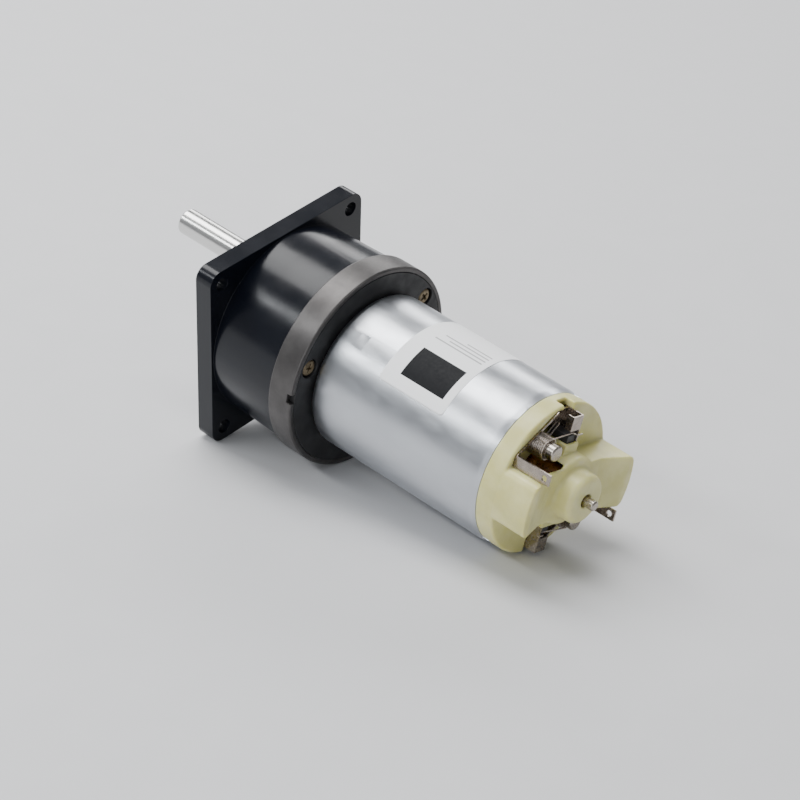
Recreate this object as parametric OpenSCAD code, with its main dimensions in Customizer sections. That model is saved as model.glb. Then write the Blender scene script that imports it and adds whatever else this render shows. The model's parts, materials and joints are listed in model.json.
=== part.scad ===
// DC gear motor: a brushed can motor behind a three-stage spur gearbox with a square flange.
// Millimetres. The origin is the middle of the flange's mounting face, on the motor's axis.
// +X runs out along the output shaft, +Z is up, and angles count from +Y towards +Z.

/* [Flange and housing] */
// Side of the square mounting flange
flange_side = 46; // [45:0.5:60]
// Thickness of the flange
flange_t = 4.5; // [3:0.1:5.5]
// Corner radius of the flange
flange_corner_r = 3; // [2:0.1:5]
// Distance between mounting holes, both ways
hole_spacing = 39; // [37:0.1:39.5]
// Diameter of the mounting holes
hole_d = 3.3; // [2.5:0.1:3.6]
// Length of the housing from the mounting face to the band
housing_len = 22.4; // [21.5:0.1:28]
// Diameter of the housing beside the flange
housing_front_d = 44.8; // [44.2:0.1:45.4]
// Diameter of the housing beside the band
housing_rear_d = 45.8; // [45.2:0.1:46.4]
// Diameter of the gear space
cavity_d = 42; // [41.6:0.1:42.4]
// Thickness of the front wall, flange included
front_wall = 7; // [6:0.1:7.4]

/* [Band and rear plate] */
// Outer diameter of the steel band
band_d = 47.6; // [46.8:0.1:50]
// Length of the band
band_len = 6.6; // [6:0.1:8]
// Wall of the band
band_wall = 1.2; // [0.6:0.1:1.5]
// Thickness of the rear plate
plate_t = 2.5; // [2.3:0.1:3]
// Angle of the notch in the band's rear edge
notch_angle = 9.6; // [0:0.1:20]
// Width of the notch in the band
notch_w = 2.2; // [1:0.1:4]

/* [Gearbox screws] */
// Thread diameter of the gearbox screws
gear_screw_d = 2.5; // [2:0.1:2.6]
// Head diameter of the gearbox screws
gear_screw_head_d = 3.8; // [3.2:0.1:4]
// Head height of the gearbox screws
gear_screw_head_h = 1.3; // [1:0.1:1.5]
// Length of the thread below the head
gear_screw_len = 8; // [5:0.5:12]
// Angle of the two upper screws above the horizontal
upper_screw_angle = 28; // [20:1:40]
// Radius of the screw lugs
lug_r = 2.4; // [2:0.1:2.5]

/* [Gears] */
// Module of the first two stages
fine_module = 0.5; // [0.48:0.01:0.51]
// Module of the output stage
coarse_module = 0.6; // [0.55:0.01:0.62]
// Teeth on every pinion
pinion_teeth = 12; // [11:1:12]
// Teeth on the first wheel
first_teeth = 34; // [32:1:35]
// Teeth on the second wheel
second_teeth = 32; // [30:1:33]
// Teeth on the output wheel
output_teeth = 32; // [30:1:33]
// Pressure angle of the teeth
pressure_angle = 20; // [18:1:22]
// Thinning of every tooth at the pitch circle
tooth_play = 0.08; // [0.06:0.01:0.12]
// Face width of the first wheel
first_face = 2.8; // [2:0.1:3]
// Face width of the second wheel
second_face = 3; // [2:0.1:3.2]
// Face width of the output wheel
output_face = 5.2; // [4:0.1:5.4]
// Direction of the first idler pin from the motor's axis
first_pin_angle = -60; // [-62:1:-56]
// Diameter of the idler pins
idler_pin_d = 2.5; // [2:0.1:2.6]
// Depth of the idler pins in the front wall
idler_pin_depth = 3; // [2:0.1:3.5]

/* [Output shaft] */
// Diameter of the output shaft
shaft_d = 6; // [5:0.1:6.4]
// Length of the shaft beyond the mounting face
shaft_len = 27.3; // [15:0.1:40]
// Height of the output shaft above the motor's axis
shaft_offset = 10; // [9.6:0.1:10.2]
// Chamfer at the shaft's tip
shaft_chamfer = 0.6; // [0.2:0.1:1]
// Diameter of the shaft inside the front bush and the wheel
front_journal_d = 7; // [6.6:0.1:7.2]
// Diameter of the groove where the free end of the shaft begins
groove_d = 5.4; // [4.6:0.1:5.6]
// Diameter of the shaft's rear journal
journal_d = 4; // [3:0.1:4.2]
// Outer diameter of the front bush
bush_d = 9; // [8.6:0.1:10]
// Outer diameter of the rear bush
rear_bush_d = 7; // [6:0.1:7.2]

/* [Motor can] */
// Outer diameter of the can
can_d = 36; // [35:0.1:38]
// Length of the can
can_len = 47.5; // [44:0.5:60]
// Wall of the can
can_wall = 0.8; // [0.5:0.1:1]
// Radius of the can's front shoulder
can_shoulder = 1.8; // [1.2:0.1:3]
// Diameter of the bearing boss on the can's front
boss_d = 11; // [9.6:0.1:11.2]
// Height of the bearing boss
boss_h = 2; // [1.4:0.1:2.2]
// Length of the rolled rim
rim_len = 1.9; // [1:0.1:2.5]
// Inward step of the rolled rim
rim_step = 0.4; // [0.1:0.1:0.6]
// Angle of the first crimp tab
tab_angle = 140; // [125:1:155]
// Width of the crimp tabs
crimp_w = 3.6; // [2:0.1:5]
// Angle of the first pressed dimple
dimple_angle = 60; // [40:1:80]
// Distance from the can's front to the dimples
dimple_from_front = 7.7; // [5:0.1:9]
// Width of the dimples
dimple_w = 3.5; // [2:0.1:5]

/* [Motor screws] */
// Thread diameter of the countersunk motor screws
motor_screw_d = 3; // [2.5:0.1:3.2]
// Head diameter of the motor screws
motor_screw_head_d = 5.4; // [5:0.1:5.8]
// Length of the motor screws
motor_screw_len = 5; // [4:0.1:6]
// Distance between the motor screws
motor_screw_spacing = 25; // [24:0.1:27]
// Angle of the first motor screw
motor_screw_angle = 150; // [145:1:155]

/* [Rotor] */
// Diameter of the motor shaft
motor_shaft_d = 2.3; // [2:0.1:2.6]
// Length of the shaft beyond the end cap's boss
tail_len = 2.5; // [1:0.1:6]
// Diameter of the armature core
core_d = 26.6; // [24:0.1:27]
// Length of the armature core
core_len = 24; // [16:0.5:24]
// Number of armature poles
poles = 5; // [3:2:7]
// Diameter of the commutator
commutator_d = 10; // [8:0.1:10.4]
// Bearing diameter, front and rear
bearing_d = 7.2; // [6:0.1:7.4]

/* [Magnets] */
// Thickness of the magnets
magnet_t = 3.2; // [2:0.1:3.3]
// Length of the magnets
magnet_len = 31; // [24:0.5:31]
// Angle that each magnet spans
magnet_span = 130; // [110:1:135]

/* [End cap] */
// Thickness of the cap's disc behind the can
disc_t = 4.5; // [4:0.1:5.5]
// Width of the bridge
bridge_w = 12.2; // [11.4:0.1:12.6]
// Height of the bridge behind the disc
bridge_h = 8.5; // [8:0.1:11]
// Depth of the saddle in the middle of the bridge
saddle_depth = 2.5; // [1.5:0.1:3]
// Turn of the bridge about the motor's axis
bridge_angle = 18; // [0:1:30]
// Diameter of the hub
hub_d = 15.6; // [15:0.1:16.4]
// Height of the hub behind the bridge
hub_h = 1.8; // [1.6:0.1:3]
// Length of the cap's spigot in the can
spigot_len = 4; // [3:0.1:4.4]

/* [Brush gear] */
// Thickness of the brush holder sheet
sheet_t = 0.5; // [0.3:0.05:0.6]
// Wall of the brush tube
tube_wall = 0.3; // [0.2:0.05:0.4]
// Width of the brush across the motor
brush_w = 2.6; // [2.2:0.1:2.8]
// Height of the brush along the motor
brush_h = 4.6; // [4:0.1:4.7]
// Length of the brush
brush_len = 6.5; // [6:0.1:6.8]
// Length of the solder tab behind the disc
tab_len = 9.4; // [6:0.1:10]
// Width of the solder tab
tab_w = 2.5; // [2:0.1:3]
// Hole in the solder tab
tab_hole_d = 1.4; // [0.8:0.1:1.6]
// Outer diameter of the torsion springs
spring_d = 5.2; // [4.8:0.1:5.3]
// Wire of the torsion springs
wire_d = 0.36; // [0.3:0.02:0.4]
// Turns of the torsion springs
spring_turns = 10; // [8:1:11]
// Diameter of the spring posts
post_d = 3.6; // [2.8:0.1:3.8]

/* [Label] */
// Length of the label along the can
label_len = 18; // [14:1:30]
// Distance from the label to the can's rear rim
label_from_rear = 14.5; // [6:0.5:16]
// Angle of the label's lower edge
label_from = 45; // [30:1:60]
// Angle that the label spans
label_span = 90; // [60:1:120]
// Thickness of the label
label_t = 0.1; // [0.05:0.01:0.2]

/* [Hidden] */
$fn = 64;

// Clearances and cutting margins
press = 0;              // pressed seats share one radius
run = 0.03;             // radial clearance of a running fit
slip = 0.05;            // clearance of parts that are only laid in
end_play = 0.2;         // axial gap beside a turning wheel
cut = 1;                // how far a cut runs past the face it opens
full_turn = 360;
arc_steps = 6;          // chords in a rounded profile corner
flank_steps = 4;        // chords along a tooth flank

// Colours
cast_black = [0.09, 0.10, 0.12];
plate_black = [0.12, 0.12, 0.12];
band_steel = [0.42, 0.40, 0.38];
zinc = [0.78, 0.80, 0.83];
steel = [0.72, 0.72, 0.72];
bronze = [0.62, 0.47, 0.28];
brass = [0.80, 0.66, 0.36];
copper = [0.74, 0.42, 0.26];
ferrite = [0.22, 0.22, 0.23];
nylon = [0.82, 0.80, 0.64];
carbon = [0.16, 0.16, 0.17];
paper = [0.93, 0.94, 0.95];
fibre = [0.55, 0.34, 0.20];

// Gearbox, along the axis
x_seam = -housing_len;
x_rear = x_seam - band_len;
x_plate = x_rear + plate_t;
x_wall = -front_wall;
cavity_r = cavity_d / 2;
spigot_r = band_d / 2 - band_wall - slip;
plate_r = spigot_r;
recess_r = gear_screw_head_d / 2 + 0.3;
recess_depth = gear_screw_head_h + 0.2;
screw_circle = plate_r - max(recess_r, lug_r) - 0.1;
screw_angles = [upper_screw_angle, 180 - upper_screw_angle, 270];
x_screw_head = x_rear + recess_depth;
x_screw_tip = x_screw_head + gear_screw_len;
motor_screw_head_h = (motor_screw_head_d - motor_screw_d) / 2;

// Gears, across the axis
motor_at = [0, 0];
output_at = [0, shaft_offset];
first_reach = fine_module * (pinion_teeth + first_teeth) / 2;
second_reach = fine_module * (pinion_teeth + second_teeth) / 2;
third_reach = coarse_module * (pinion_teeth + output_teeth) / 2;
pin_a = first_reach * [cos(first_pin_angle), sin(first_pin_angle)];
a_to_output = output_at - pin_a;
span = norm(a_to_output);
along = (second_reach * second_reach - third_reach * third_reach + span * span) / (2 * span);
aside = sqrt(second_reach * second_reach - along * along);
pin_b = pin_a + along * a_to_output / span + aside * [a_to_output[1], -a_to_output[0]] / span;
angle_b = bearing_of(pin_b - pin_a);
angle_output = bearing_of(output_at - pin_b);

// Gears, along the axis
pinion_over = 0.3;      // how far a pinion's teeth stand past its wheel
x_first = x_plate + 0.9;
x_second = x_first + first_face + 1;
x_output = x_second + second_face + 1.4;
x_first_end = x_second + second_face + pinion_over;
x_second_end = x_output + output_face + pinion_over;
idler_r = idler_pin_d / 2;
pin_boss_r = idler_r + 1.4;
spacer_r = idler_r + 0.6;

// Output shaft
shaft_r = shaft_d / 2;
front_journal_r = front_journal_d / 2;
groove_r = groove_d / 2;
groove_over = 0.5;      // where the groove ends in front of the mounting face
bush_r = bush_d / 2;
bush_flange_r = bush_r + 1;
bush_flange_t = 1;
bush_recess = 0.3;
x_bush = x_wall - bush_flange_t;
washer_t = 0.8;
washer_r = bush_r + 0.5;
x_washer = x_bush - 0.1 - washer_t;
x_hub_front = x_washer - 0.1;
wheel_hub_r = front_journal_r + 2;
rear_bush_flange_t = 0.8;
x_journal = x_plate + rear_bush_flange_t + end_play;

// Motor can, along the axis
can_r = can_d / 2;
can_in_r = can_r - can_wall;
boss_r = boss_d / 2;
x_boss = x_rear + boss_h;
x_can = x_rear - can_len;
x_rim = x_can + rim_len;
bearing_r = bearing_d / 2;
front_bearing_len = 4;
x_front_bearing = x_boss - can_wall - front_bearing_len;
crimp_h = 1.6;
crimp_reach = 1.6;
dimple_depth = 0.45;
dimple_len = 2.6;
clip_t = 0.5;
clip_gap = 1;

// End cap, along the axis
cap_r = can_r - rim_step;
x_disc = x_can - disc_t;
x_bridge = x_disc - bridge_h;
x_saddle = x_bridge + saddle_depth;
x_hub = x_bridge - hub_h;
x_tail = x_hub - tail_len;
floor_t = 1.5;
x_floor = x_can - floor_t;
cap_wall = 1.5;
hub_wall = 0.9;
rear_bearing_len = 3.2;
x_rear_bearing = x_hub + hub_wall;
x_rear_bearing_front = x_rear_bearing + rear_bearing_len;
x_commutator_room = x_saddle + cap_wall;
commutator_r = commutator_d / 2;
commutator_room_r = commutator_r + 1.2;
disc_round = 0.5;

// End cap, across the axis
hub_r = hub_d / 2;
hub_round = 0.6;
dome_r = bearing_r + 2;
dome_round = 1.3;
dome_fillet = 0.8;
block_round = 2;        // corners of the bridge where it meets the cap's edge
block_at = [sqrt((cap_r - block_round) * (cap_r - block_round)
            - (bridge_w / 2 - block_round) * (bridge_w / 2 - block_round)), bridge_w / 2 - block_round];
block_turn = bearing_of(block_at);
saddle_in = hub_r + 0.2;
saddle_out = cap_r - 2;

// Rotor, along the axis
motor_shaft_r = motor_shaft_d / 2;
x_motor_tip = x_second - 0.6;
pinion_len = first_face + 0.5;
x_pinion = x_motor_tip - 0.1 - pinion_len;
x_magnet = x_can + spigot_len + 1;
x_magnet_front = x_magnet + magnet_len;
x_core = x_magnet + (magnet_len - core_len) / 2;
x_core_front = x_core + core_len;
winding_over = 4.2;
x_commutator = x_commutator_room + 0.3;
commutator_front = x_can + 1.6;
core_r = core_d / 2;
tooth_neck = core_d / 7;
core_hub_r = core_r * 0.36;
shoe_t = core_r * 0.13;
slot_gap = 2;
spacer_wall = 1;
end_spacer_wall = 1.5;

// Brush gear, in the bridge's own frame, whose first axis runs along the bridge
seat_inset = 1.1;
strip_from = 30;
strip_to = 78;
strip_r = cap_r - seat_inset;
strip_a = strip_r * [cos(strip_from), sin(strip_from)];
strip_b = strip_r * [cos(strip_to), sin(strip_to)];
strip_proud = 0.3;
x_strip = x_disc - strip_proud;
x_strip_front = x_floor - slip;
tube_in_w = brush_w + 2 * slip;
tube_in_h = brush_h + 2 * slip;
tube_w = tube_in_w + 2 * tube_wall;
tube_h = tube_in_h + 2 * tube_wall;
tube_depth = 2.4;       // how far the tube stands in the disc
x_tube = x_disc + tube_depth - tube_h;
tunnel_half = tube_w / 2 + 0.6;
tunnel_end = 9.9;
x_tunnel = x_tube - tube_wall;
tube_inner_end = tunnel_end + slip;
tube_outer_end = strip_b[1];
tube_back_from = 12.8;  // the tube's back wall begins here and leaves room for the spring's leg
tube_lip = 1.6;         // what is left of the tube's near wall
x_brush = x_tube + tube_wall + slip;
brush_start = commutator_r + run;
brush_end = brush_start + brush_len;
brush_half = brush_w / 2;
plate_edge = 13.3;      // edge of the holder's inner plate, on which the spring's anchor bears
plate_corner = 2.4;
plate_joint = 1.5;      // length along the strip where the inner plate joins it
inner_plate_t = 0.35;
inner_plate_depth = 0.87;
x_inner_plate = x_disc + inner_plate_depth;
tab_half = tab_w / 2;
tab_mid = bridge_w / 2 + 0.2 + tab_half;

// Brush springs, whose wire runs from the anchor through the coil to the brush
spring_at = [7.4, 9.9];
spring_r = (spring_d - wire_d) / 2;
post_r = post_d / 2;
post_boss_r = spring_d / 2 - 0.1;
spring_pitch = wire_d * 1.22;
x_spring = x_inner_plate + inner_plate_t + slip + wire_d / 2;
x_anchor = x_inner_plate - slip - wire_d / 2;
x_post_boss = x_spring + wire_d / 2 + slip;
anchor_turn = 225;
anchor_way = tangent(anchor_turn);
anchor_reach = 6.8;     // from the coil to the hairpin's bend
anchor_return = 2.3;    // from the coil to the wire's free end
anchor_bend = 0.3;
leg_inset = 0.6;        // from the brush's far side to the end of the leg
leg_to = [leg_inset - brush_half, brush_end + wire_d / 2 + slip];
leg_turn = bearing_of(leg_to - spring_at) - acos(spring_r / norm(leg_to - spring_at));
x_leg_end = x_brush + 1.3 * wire_d;
coil_sweep = full_turn * spring_turns + leg_turn - anchor_turn;
x_coil_end = x_spring - spring_pitch * coil_sweep / full_turn;
x_hook = x_tube - wire_d;
hook_len = 1.4;
post_over = 2.3;        // how far the post stands past the coil
x_post = x_coil_end - post_over;
coil_steps = 16;
wire_sides = 6;

// Bearing of a direction in degrees
function bearing_of(v) = atan2(v[1], v[0]);

// Points of a circular arc with its chords' ends on the arc
function arc(centre, r, from, to) =
    [for (i = [0:arc_steps]) let (t = from + (to - from) * i / arc_steps) centre + r * [cos(t), sin(t)]];

// How far the involute has turned at radius r, in degrees
function involute(r, base) = r <= base ? 0 : tan(acos(base / r)) * 180 / PI - acos(base / r);

// Half the angle that a tooth spans at radius r
function half_tooth(r, pitch, base, teeth) =
    90 / teeth - tooth_play / 2 / pitch * 180 / PI + involute(pitch, base) - involute(r, base);

// Outline of a gear with stub involute teeth, the first of them on the first axis
function gear_points(gear_module, teeth) =
    let (pitch = gear_module * teeth / 2)
    let (base = pitch * cos(pressure_angle))
    let (tip = pitch + 0.8 * gear_module, root = pitch - 1.05 * gear_module)
    let (radii = [for (k = [0:flank_steps]) root + (tip - root) * k / flank_steps])
    let (flank = [for (r = radii) [r, half_tooth(r, pitch, base, teeth)]])
    [for (i = [0:teeth - 1]) let (middle = full_turn * i / teeth) each concat(
        [for (k = [0:flank_steps]) on_circle(flank[k][0], middle - flank[k][1])],
        [for (k = [flank_steps:-1:0]) on_circle(flank[k][0], middle + flank[k][1])])];

function on_circle(r, angle) = r * [cos(angle), sin(angle)];

// Stands a drawing up so that its plane is YZ and its third axis is X
module upright() {
    rotate([90, 0, 90]) children();
}

// Extrudes a YZ drawing from x0 to x1
module slab(x0, x1) {
    translate([x0, 0, 0]) upright() linear_extrude(height = x1 - x0) children();
}

// Revolves [radius, x] points about the motor's axis
module turned(points, from = 0, sweep = 360) {
    rotate([from, 0, 0]) upright() rotate_extrude(angle = sweep) polygon(points);
}

// Ring or disc about the motor's axis
module ring(x0, x1, outer, inner = 0, from = 0, sweep = 360) {
    turned([[inner, x0], [outer, x0], [outer, x1], [inner, x1]], from, sweep);
}

// Round bar along X
module rod(x0, x1, r) {
    translate([x0, 0, 0]) upright() cylinder(h = x1 - x0, r = r);
}

// Cone along X
module cone(x0, x1, r0, r1) {
    translate([x0, 0, 0]) upright() cylinder(h = x1 - x0, r1 = r0, r2 = r1);
}

// Places children at a [y, z] point
module at(point) {
    translate([0, point[0], point[1]]) children();
}

// Places children on a circle about the motor's axis, turned with it
module around(r, angle) {
    rotate([angle, 0, 0]) translate([0, r, 0]) children();
}

// Gear from x0 to x1 with one tooth at the given angle and a plain bore
module gear(x0, x1, gear_module, teeth, angle, bore_r) {
    difference() {
        slab(x0, x1) rotate(angle) polygon(gear_points(gear_module, teeth));
        rod(x0 - cut, x1 + cut, bore_r);
    }
}

// Gearbox

module flange_plate() {
    inner = flange_side / 2 - flange_corner_r;
    slab(-flange_t, 0) {
        square([flange_side, 2 * inner], center = true);
        square([2 * inner, flange_side], center = true);
        for (y = [-inner, inner]) {
            for (z = [-inner, inner]) {
                translate([y, z]) circle(r = flange_corner_r);
            }
        }
    }
}

module housing_block() {
    flange_plate();
    turned([[0, -flange_t / 2], [housing_front_d / 2, -flange_t / 2], [housing_front_d / 2, -flange_t],
            [housing_rear_d / 2, x_seam], [spigot_r, x_seam], [spigot_r, x_plate], [0, x_plate]]);
}

// Room for the gears, left open towards the rear plate between the screw lugs and the pin bosses
module gear_room() {
    difference() {
        ring(x_plate - cut, x_wall, cavity_r);
        for (angle = screw_angles) {
            around(screw_circle, angle) rod(x_plate - 2 * cut, x_wall + cut, lug_r);
        }
        at(pin_a) rod(x_first_end + end_play, x_wall + cut, pin_boss_r);
        at(pin_b) rod(x_second_end + end_play, x_wall + cut, pin_boss_r);
    }
}

module gearbox_housing() {
    color(cast_black) difference() {
        housing_block();
        gear_room();
        for (y = [-1, 1]) {
            for (z = [-1, 1]) {
                at([y, z] * hole_spacing / 2) rod(-flange_t - cut, cut, hole_d / 2);
            }
        }
        at(output_at) rod(x_wall - cut, cut, bush_r);
        at(pin_a) rod(x_first_end, x_wall + idler_pin_depth, idler_r + press);
        at(pin_b) rod(x_second_end, x_wall + idler_pin_depth, idler_r + press);
        for (angle = screw_angles) {
            around(screw_circle, angle) rod(x_plate - cut, x_screw_tip + 1, gear_screw_d / 2);
        }
    }
}

module cover_band() {
    chamfer = band_wall / 4;
    color(band_steel) difference() {
        turned([[spigot_r + slip, x_rear], [band_d / 2 - chamfer, x_rear], [band_d / 2, x_rear + chamfer],
                [band_d / 2, x_seam - chamfer], [band_d / 2 - chamfer, x_seam], [spigot_r + slip, x_seam]]);
        around(spigot_r, notch_angle) translate([x_rear - cut, -cut, -notch_w / 2])
            cube([cut + plate_t / 2, band_wall + 3 * cut, notch_w]);
    }
}

module rear_plate() {
    color(plate_black) difference() {
        ring(x_rear, x_plate, plate_r);
        rod(x_rear - cut, x_plate + cut, boss_r + slip);
        at(output_at) rod(x_rear - cut, x_plate + cut, rear_bush_d / 2);
        at(pin_a) rod(x_rear - cut, x_plate + cut, idler_r + press);
        at(pin_b) rod(x_rear - cut, x_plate + cut, idler_r + press);
        for (angle = screw_angles) {
            around(screw_circle, angle) {
                rod(x_rear - cut, x_plate + cut, gear_screw_d / 2 + slip);
                rod(x_rear - cut, x_screw_head, recess_r);
            }
        }
        for (turn = [0, 180]) {
            around(motor_screw_spacing / 2, motor_screw_angle + turn) {
                rod(x_rear - cut, x_plate + cut, motor_screw_d / 2 + slip);
                cone(x_plate - motor_screw_head_h, x_plate,
                     motor_screw_d / 2 + slip, motor_screw_head_d / 2 + slip);
            }
        }
    }
}

module cross_recess(x, depth, length) {
    for (turn = [0, 90]) {
        rotate([turn, 0, 0]) translate([x - cut, -length / 2, -length / 8])
            cube([depth + cut, length, length / 4]);
    }
}

module gearbox_screws() {
    head_x = x_screw_head - gear_screw_head_h;
    color(brass) for (angle = screw_angles) {
        around(screw_circle, angle) difference() {
            union() {
                rod(x_screw_head, x_screw_tip, gear_screw_d / 2);
                turned(concat([[0, x_screw_head], [gear_screw_head_d / 2, x_screw_head]],
                              arc([gear_screw_head_d / 2 - 0.6, head_x + 0.6], 0.6, 0, -90),
                              [[0, head_x]]));
            }
            cross_recess(head_x, gear_screw_head_h / 2, gear_screw_head_d * 0.55);
        }
    }
}

module motor_screws() {
    color(steel) for (turn = [0, 180]) {
        around(motor_screw_spacing / 2, motor_screw_angle + turn) difference() {
            union() {
                rod(x_plate - motor_screw_len, x_plate, motor_screw_d / 2);
                cone(x_plate - motor_screw_head_h, x_plate, motor_screw_d / 2, motor_screw_head_d / 2);
            }
            mirror([1, 0, 0]) cross_recess(-x_plate, motor_screw_head_h * 0.8, motor_screw_head_d * 0.5);
        }
    }
}

module output_bush() {
    color(bronze) at(output_at) difference() {
        union() {
            rod(x_wall, -bush_recess, bush_r);
            rod(x_bush, x_wall, bush_flange_r);
        }
        rod(x_bush - cut, cut, front_journal_r + run);
    }
}

module output_rear_bush() {
    color(bronze) at(output_at) difference() {
        union() {
            rod(x_rear + end_play, x_plate, rear_bush_d / 2);
            rod(x_plate, x_plate + rear_bush_flange_t, rear_bush_d / 2 + 0.5);
        }
        rod(x_rear - cut, x_plate + cut, journal_d / 2 + run);
    }
}

module idler_pin(point) {
    color(steel) at(point) rod(x_rear + end_play, x_wall + idler_pin_depth, idler_r);
}

module idler_washer() {
    color(steel) at(pin_a) ring(x_plate, x_first - 0.1, idler_r + 1.2, idler_r + run);
}

module idler_spacer() {
    color(brass) at(pin_b) ring(x_plate, x_second - 0.1, spacer_r, idler_r + run);
}

module output_shaft() {
    color(steel) at(output_at) turned([
        [0, x_rear + 2 * end_play], [journal_d / 2 - 0.2, x_rear + 2 * end_play],
        [journal_d / 2, x_rear + 3 * end_play], [journal_d / 2, x_journal], [front_journal_r, x_journal],
        [front_journal_r, -bush_recess], [groove_r, -bush_recess], [groove_r, groove_over],
        [shaft_r, groove_over], [shaft_r, shaft_len - shaft_chamfer], [shaft_r - shaft_chamfer, shaft_len],
        [0, shaft_len]]);
}

module output_wheel() {
    web_r = coarse_module * output_teeth / 2 - 2 * coarse_module;
    web_recess = output_face / 4;
    color(brass) at(output_at) difference() {
        union() {
            gear(x_output, x_output + output_face, coarse_module, output_teeth,
                 angle_output + 180 + 180 / output_teeth, front_journal_r + press);
            ring(x_output + output_face - web_recess, x_hub_front, wheel_hub_r, front_journal_r + press);
        }
        ring(x_output - cut, x_output + web_recess, web_r, wheel_hub_r);
        ring(x_output + output_face - web_recess, x_output + output_face + cut, web_r, wheel_hub_r);
    }
}

module thrust_washer() {
    color(steel) at(output_at) ring(x_washer, x_washer + washer_t, washer_r, front_journal_r + run);
}

module first_wheel() {
    color(brass) at(pin_a) gear(x_first, x_first + first_face, fine_module, first_teeth,
        first_pin_angle + 180 + 180 / first_teeth, idler_r + 0.8);
}

module first_pinion() {
    color(steel) at(pin_a) difference() {
        union() {
            rod(x_first, x_first + first_face, idler_r + 0.8);
            gear(x_first + first_face, x_first_end, fine_module, pinion_teeth, angle_b, idler_r + run);
        }
        rod(x_first - cut, x_first_end + cut, idler_r + run);
    }
}

module second_wheel() {
    color(brass) at(pin_b) gear(x_second, x_second + second_face, fine_module, second_teeth,
        angle_b + 180 + 180 / second_teeth, idler_r + 0.8);
}

module second_pinion() {
    color(steel) at(pin_b) difference() {
        union() {
            rod(x_second, x_second + second_face, idler_r + 0.8);
            gear(x_second + second_face, x_second_end, coarse_module, pinion_teeth, angle_output,
                 idler_r + run);
        }
        rod(x_second - cut, x_second_end + cut, idler_r + run);
    }
}

module motor_pinion() {
    color(brass) gear(x_pinion, x_pinion + pinion_len, fine_module, pinion_teeth, first_pin_angle,
                      motor_shaft_r + press);
}

// Motor

module can_shell() {
    shoulder_at = [can_r - can_shoulder, x_rear - can_shoulder];
    turned(concat(
        [[bearing_r - 0.8, x_boss - can_wall], [bearing_r - 0.8, x_boss], [boss_r - can_wall / 2, x_boss],
         [boss_r, x_boss - can_wall / 2], [boss_r, x_rear]],
        arc(shoulder_at, can_shoulder, 90, 0),
        [[can_r, x_rim], [can_r - rim_step, x_can], [can_in_r - rim_step, x_can], [can_in_r, x_rim]],
        arc(shoulder_at, can_shoulder - can_wall, 0, 90),
        [[bearing_r, x_rear - can_wall], [bearing_r, x_boss - can_wall]]));
}

module crimp_tab() {
    translate([x_can - crimp_h, cap_r - crimp_reach, -crimp_w / 2])
        cube([can_wall, crimp_reach, crimp_w]);
    translate([x_can - crimp_h, cap_r - can_wall, -crimp_w / 2])
        cube([crimp_h + rim_len / 2, can_wall, crimp_w]);
}

module dimple_cut() {
    drop = atan(dimple_depth / dimple_len);
    translate([x_rear - dimple_from_front, can_r - dimple_depth, -dimple_w / 2]) rotate([0, 0, drop])
        cube([2 * dimple_len, 2 * cut, dimple_w]);
}

module motor_can() {
    color(zinc) difference() {
        union() {
            can_shell();
            for (turn = [0, 180]) {
                rotate([tab_angle + turn, 0, 0]) crimp_tab();
            }
        }
        for (turn = [0, 180]) {
            rotate([dimple_angle + turn, 0, 0]) dimple_cut();
            around(motor_screw_spacing / 2, motor_screw_angle + turn)
                rod(x_rear - can_wall - cut, x_rear + cut, motor_screw_d / 2);
        }
    }
}

module label() {
    x_label = x_can + label_from_rear;
    color(paper) ring(x_label, x_label + label_len, can_r + label_t, can_r, label_from, label_span);
}

module magnets() {
    color(ferrite) for (turn = [0, 180]) {
        ring(x_magnet, x_magnet_front, can_in_r, can_in_r - magnet_t,
             bridge_angle + turn - magnet_span / 2, magnet_span);
    }
}

// Spring steel channel between the magnets, its two flanges folded in towards the rotor
module clip_shape(from, to) {
    fold = 2.5;
    flange_r = can_in_r - magnet_t + 0.6;
    polygon(concat(arc([0, 0], can_in_r, from, to),
                   [on_circle(flange_r, to), on_circle(flange_r, to - fold)],
                   arc([0, 0], can_in_r - clip_t, to - fold, from + fold),
                   [on_circle(flange_r, from + fold), on_circle(flange_r, from)]));
}

module magnet_clips() {
    middle = bridge_angle + 90;
    half = 90 - magnet_span / 2 - clip_gap;
    color(steel) for (turn = [0, 180]) {
        slab(x_magnet + 3, x_magnet_front - 3) clip_shape(middle + turn - half, middle + turn + half);
    }
}

module front_bearing() {
    color(bronze) ring(x_front_bearing, x_boss - can_wall, bearing_r, motor_shaft_r + run);
}

module rear_bearing() {
    color(bronze) ring(x_rear_bearing, x_rear_bearing_front, bearing_r, motor_shaft_r + run);
}

module motor_shaft() {
    chamfer = motor_shaft_r / 4;
    color(steel) turned([[0, x_tail], [motor_shaft_r - chamfer, x_tail], [motor_shaft_r, x_tail + chamfer],
        [motor_shaft_r, x_motor_tip - chamfer], [motor_shaft_r - chamfer, x_motor_tip], [0, x_motor_tip]]);
}

module slot_shape() {
    difference() {
        circle(r = core_r - shoe_t);
        circle(r = core_hub_r);
        for (i = [0:poles - 1]) {
            rotate(360 * i / poles) translate([0, -tooth_neck / 2]) square([core_r, tooth_neck]);
        }
    }
}

module armature_core() {
    color(steel) difference() {
        ring(x_core, x_core_front, core_r, motor_shaft_r + press);
        slab(x_core - cut, x_core_front + cut) slot_shape();
        for (i = [0:poles - 1]) {
            rotate([360 * (i + 0.5) / poles, 0, 0]) translate([x_core - cut, core_r / 2, -slot_gap / 2])
                cube([core_len + 2 * cut, core_r, slot_gap]);
        }
    }
}

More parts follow.
